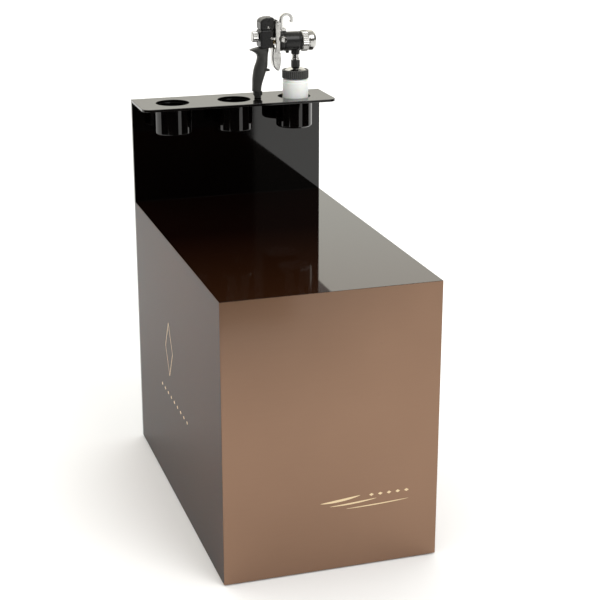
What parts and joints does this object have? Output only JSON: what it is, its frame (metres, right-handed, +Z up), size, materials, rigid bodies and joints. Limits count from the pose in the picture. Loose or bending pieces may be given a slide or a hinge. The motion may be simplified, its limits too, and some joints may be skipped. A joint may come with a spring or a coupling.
{
  "type": "airbrush holder stand",
  "caption": "Closed cabinet plinth with a tall back panel, a shelf of hanging cups, and a lift-off trigger spray gun resting with its bottle in one cup.",
  "frame": {"origin": "on the floor under the middle of the cabinet", "axes": "+Z up, -Y is the cabinet's front, +X is the way the spray gun points"},
  "size_m": [0.455, 0.79, 1.0342],
  "materials": {
    "bronze_panel": "satin bronze sheet",
    "gloss_top": "mirror gloss",
    "gloss_black": "mirror gloss",
    "gloss_shelf": "mirror gloss",
    "inner_board": "raw board",
    "foot_rubber": "matt",
    "screw_steel": "zinc plated",
    "bracket_black": "satin black paint",
    "gun_black": "semi-gloss black",
    "gun_cover": "semi-gloss black moulding",
    "grip": "fine moulded texture",
    "fitting_black": "satin black",
    "chrome": "polished",
    "needle_steel": "ground",
    "brass": "machined",
    "gasket_rubber": "matt",
    "ring_grey": "ribbed moulding",
    "bottle_white": "translucent white moulding"
  },
  "bodies": {
    "stand": {"front_panel": "bronze_panel", "left_side_panel": "bronze_panel", "right_side_panel": "bronze_panel", "top_panel": "gloss_top", "back_panel": "gloss_black", "cup_left": "gloss_black", "cup_middle": "gloss_black", "cup_right": "gloss_black", "cup_shelf": "gloss_shelf", "base_panel": "inner_board", "corner_post_front_left": "inner_board", "corner_post_front_right": "inner_board", "corner_post_back_left": "inner_board", "corner_post_back_right": "inner_board", "foot_front_left": "foot_rubber", "foot_front_right": "foot_rubber", "foot_back_left": "foot_rubber", "foot_back_right": "foot_rubber", "foot_screw_front_left": "screw_steel", "foot_screw_front_right": "screw_steel", "foot_screw_back_left": "screw_steel", "foot_screw_back_right": "screw_steel", "shelf_bracket_left": "bracket_black", "shelf_bracket_right": "bracket_black", "bracket_screw_shelf_left": "screw_steel", "bracket_screw_panel_left": "screw_steel", "bracket_screw_shelf_right": "screw_steel", "bracket_screw_panel_right": "screw_steel"},
    "gun": {"gun_body": "gun_black", "top_cover": "gun_cover", "handle": "grip", "air_inlet_fitting": "fitting_black", "hanging_hook": "chrome", "fluid_stem": "chrome", "bottle_lid": "chrome", "cover_screw": "chrome", "side_screw": "chrome", "pivot_pin": "needle_steel", "hook_screw": "needle_steel", "packing_nut": "brass", "fluid_nozzle": "brass", "lid_gasket": "gasket_rubber", "bottle": "bottle_white", "pickup_tube": "bottle_white"},
    "trigger": {"trigger": "chrome"},
    "needle_set": {"needle": "needle_steel", "needle_collar": "brass", "needle_spring": "needle_steel"},
    "fluid_knob": {"fluid_knob": "chrome"},
    "fan_knob": {"fan_knob": "chrome"},
    "air_cap": {"air_cap": "gun_cover"},
    "air_cap_ring": {"air_cap_ring": "chrome"},
    "stem_nut": {"stem_nut": "fitting_black"},
    "bottle_ring": {"cap_ring": "ring_grey"}
  },
  "joints": [
    {"name": "gun_lift", "type": "slide", "parent": "stand", "child": "gun", "axis": [0, 0, 1], "range_m": [0, 0.15]},
    {"name": "trigger_pull", "type": "hinge", "parent": "gun", "child": "trigger", "pos_m": [0.1, 0.325, 1.014], "axis": [0, 1, 0], "range_deg": [0, 6], "stiffness_Nm_per_rad": 3, "springref_deg": -2.86},
    {"name": "needle_draw", "type": "slide", "parent": "gun", "child": "needle_set", "axis": [-1, 0, 0], "range_m": [0, 0.0048], "deforming": ["needle_spring"]},
    {"name": "fluid_knob_turn", "type": "hinge", "parent": "gun", "child": "fluid_knob", "pos_m": [0.052, 0.325, 0.983], "axis": [1, 0, 0], "range_deg": [0, 720]},
    {"name": "fan_knob_turn", "type": "hinge", "parent": "gun", "child": "fan_knob", "pos_m": [0.112, 0.297, 0.9775], "axis": [0, -1, 0], "range_deg": [0, 270]},
    {"name": "air_cap_turn", "type": "hinge", "parent": "gun", "child": "air_cap", "pos_m": [0.186, 0.325, 0.9695], "axis": [1, 0, 0], "range_deg": [0, 90]},
    {"name": "air_cap_ring_turn", "type": "hinge", "parent": "gun", "child": "air_cap_ring", "pos_m": [0.178, 0.325, 0.9695], "axis": [1, 0, 0], "range_deg": [0, 720]},
    {"name": "stem_nut_turn", "type": "hinge", "parent": "gun", "child": "stem_nut", "pos_m": [0.1485, 0.325, 0.918], "axis": [0, 0, 1], "range_deg": [0, 720]},
    {"name": "bottle_ring_turn", "type": "hinge", "parent": "gun", "child": "bottle_ring", "pos_m": [0.1485, 0.325, 0.8915], "axis": [0, 0, 1], "range_deg": [0, 540]}
  ],
  "couplings": [
    {"joint": "needle_draw", "follows": "trigger_pull", "m_per_rad": 0.0445}
  ]
}
